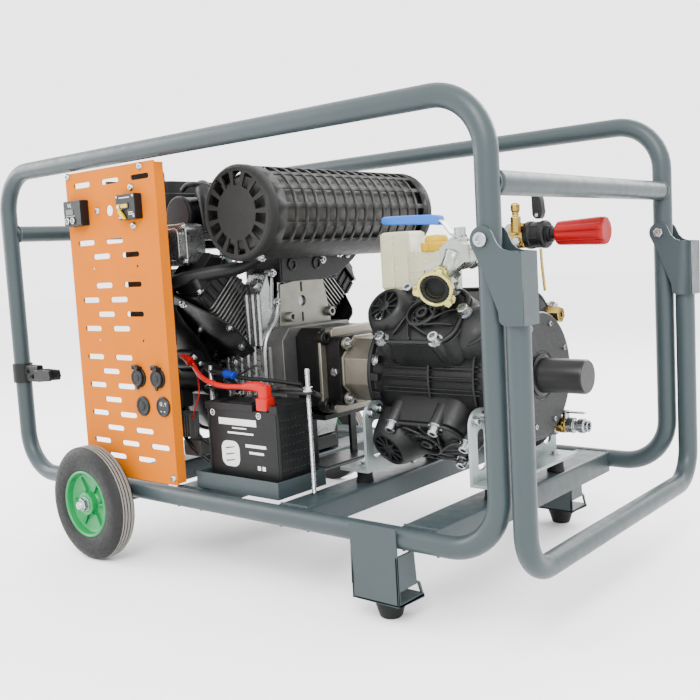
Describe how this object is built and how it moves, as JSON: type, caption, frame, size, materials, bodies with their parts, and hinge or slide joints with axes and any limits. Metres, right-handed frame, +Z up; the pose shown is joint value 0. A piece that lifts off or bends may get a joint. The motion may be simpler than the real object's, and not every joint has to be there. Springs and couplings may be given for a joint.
{
  "type": "pressure washer",
  "caption": "Engine-driven cold-water pressure washer in a wheeled tube frame, with a control panel, battery, diaphragm pump, regulator, inlet valve and fold-down handle.",
  "frame": {"origin": "on the ground under the middle of the whole machine", "axes": "+X along the frame from the wheels towards the pump and handle, +Y from the control panel side to the back, +Z up"},
  "size_m": [1.1864, 0.741, 0.7447],
  "materials": {
    "frame_paint": "smooth grey-blue powder coat",
    "orange_paint": "satin orange paint",
    "black_paint": "black enamel",
    "foot_rubber": "matt rubber",
    "tyre_rubber": "matt tyre rubber with worn tread",
    "green_plastic": "glossy moulded plastic",
    "zinc_steel": "zinc plated",
    "black_plastic": "moulded black plastic",
    "yellow_plastic": "moulded yellow plastic",
    "red_plastic": "glossy moulded plastic",
    "red_rubber": "red cable insulation",
    "cream_plastic": "translucent cream plastic",
    "cast_alloy": "as cast",
    "brass": "turned and nickel-washed",
    "blue_vinyl": "dipped vinyl sleeve"
  },
  "bodies": {
    "chassis": {"frame_loop_front": "frame_paint", "frame_loop_rear": "frame_paint", "cross_tube_left": "frame_paint", "cross_tube_right": "frame_paint", "rail_wheels": "frame_paint", "rail_engine": "frame_paint", "rail_gearbox": "frame_paint", "rail_pump": "frame_paint", "leg_front": "frame_paint", "leg_rear": "frame_paint", "rubber_foot_front": "foot_rubber", "rubber_foot_rear": "foot_rubber", "wheel_axle": "zinc_steel", "lance_clip": "black_plastic", "control_panel": "orange_paint", "hour_meter": "black_plastic", "circuit_breaker": "black_plastic", "socket_left": "black_plastic", "socket_right": "black_plastic", "battery_tray": "frame_paint", "battery": "black_plastic", "battery_holddown": "black_paint", "battery_cable": "red_rubber", "crankcase": "cast_alloy", "cylinder_front": "cast_alloy", "cylinder_rear": "cast_alloy", "blower_housing": "black_paint", "air_cleaner": "black_plastic", "muffler": "black_paint", "muffler_guard": "black_paint", "gearbox": "cast_alloy", "pump_body": "black_paint", "pump_head_upper": "black_paint", "pump_head_lower": "black_paint", "pump_end_cover": "black_paint", "pump_foot_left": "zinc_steel", "pump_foot_right": "zinc_steel", "oil_reservoir": "cream_plastic", "inlet_valve": "brass", "regulator_body": "brass", "outlet_valve": "brass"},
    "wheel_front": {"tyre_front": "tyre_rubber", "rim_front": "green_plastic"},
    "wheel_rear": {"tyre_rear": "tyre_rubber", "rim_rear": "green_plastic"},
    "handle": {"handle_tube": "frame_paint", "handle_bracket_front": "frame_paint", "handle_bracket_rear": "frame_paint"},
    "meter_key_left": {"meter_button_left": "zinc_steel"},
    "meter_key_right": {"meter_button_right": "zinc_steel"},
    "trip_key": {"trip_button": "yellow_plastic"},
    "reset_lever": {"breaker_lever": "yellow_plastic"},
    "cover_left": {"socket_cover_left": "black_plastic"},
    "cover_right": {"socket_cover_right": "black_plastic"},
    "inlet_handle": {"inlet_lever": "blue_vinyl"},
    "pressure_knob": {"regulator_knob": "red_plastic"},
    "bypass_lever": {"regulator_lever": "black_plastic"},
    "outlet_handle": {"outlet_lever": "zinc_steel"},
    "engine_shaft": {"crankshaft": "zinc_steel"},
    "drive_shaft": {"pump_shaft": "zinc_steel"}
  },
  "joints": [
    {"name": "wheel_front_spin", "type": "hinge", "parent": "chassis", "child": "wheel_front", "pos_m": [-0.29875, -0.337, 0.105], "axis": [0, 1, 0], "continuous": true},
    {"name": "wheel_rear_spin", "type": "hinge", "parent": "chassis", "child": "wheel_rear", "pos_m": [-0.29875, 0.337, 0.105], "axis": [0, 1, 0], "continuous": true},
    {"name": "handle_fold", "type": "hinge", "parent": "chassis", "child": "handle", "pos_m": [0.53775, 0, 0.54], "axis": [0, -1, 0], "range_deg": [0, 90]},
    {"name": "meter_button_left_press", "type": "slide", "parent": "chassis", "child": "meter_key_left", "axis": [0, 1, 0], "range_m": [0, 0.0013], "stiffness_N_per_m": 400},
    {"name": "meter_button_right_press", "type": "slide", "parent": "chassis", "child": "meter_key_right", "axis": [0, 1, 0], "range_m": [0, 0.0013], "stiffness_N_per_m": 400},
    {"name": "trip_button_press", "type": "slide", "parent": "chassis", "child": "trip_key", "axis": [0, 1, 0], "range_m": [0, 0.0013], "stiffness_N_per_m": 400},
    {"name": "breaker_lever_swing", "type": "hinge", "parent": "chassis", "child": "reset_lever", "pos_m": [-0.18075, -0.311, 0.635], "axis": [0, 1, 0], "range_deg": [0, 75]},
    {"name": "socket_cover_left_lift", "type": "hinge", "parent": "chassis", "child": "cover_left", "pos_m": [-0.17915, -0.3093, 0.358], "axis": [-1, 0, 0], "range_deg": [0, 110]},
    {"name": "socket_cover_right_lift", "type": "hinge", "parent": "chassis", "child": "cover_right", "pos_m": [-0.12675, -0.3093, 0.358], "axis": [-1, 0, 0], "range_deg": [0, 110]},
    {"name": "inlet_lever_turn", "type": "hinge", "parent": "chassis", "child": "inlet_handle", "pos_m": [0.36225, -0.085, 0.55], "axis": [0, 0, 1], "range_deg": [0, 90]},
    {"name": "regulator_knob_turn", "type": "hinge", "parent": "chassis", "child": "pressure_knob", "pos_m": [0.48225, 0.09, 0.547], "axis": [1, 0, 0], "range_deg": [-540, 540]},
    {"name": "regulator_lever_tilt", "type": "hinge", "parent": "chassis", "child": "bypass_lever", "pos_m": [0.40625, 0.09, 0.577], "axis": [0, -1, 0], "range_deg": [0, 60]},
    {"name": "outlet_lever_turn", "type": "hinge", "parent": "chassis", "child": "outlet_handle", "pos_m": [0.44625, 0.084, 0.252], "axis": [0, 0, 1], "range_deg": [0, 90]},
    {"name": "engine_spin", "type": "hinge", "parent": "chassis", "child": "engine_shaft", "pos_m": [-0.09275, 0, 0.325], "axis": [1, 0, 0], "continuous": true},
    {"name": "pump_spin", "type": "hinge", "parent": "chassis", "child": "drive_shaft", "pos_m": [0.30225, 0, 0.325], "axis": [1, 0, 0], "continuous": true}
  ],
  "couplings": [
    {"joint": "pump_spin", "follows": "engine_spin", "ratio": -0.41}
  ]
}
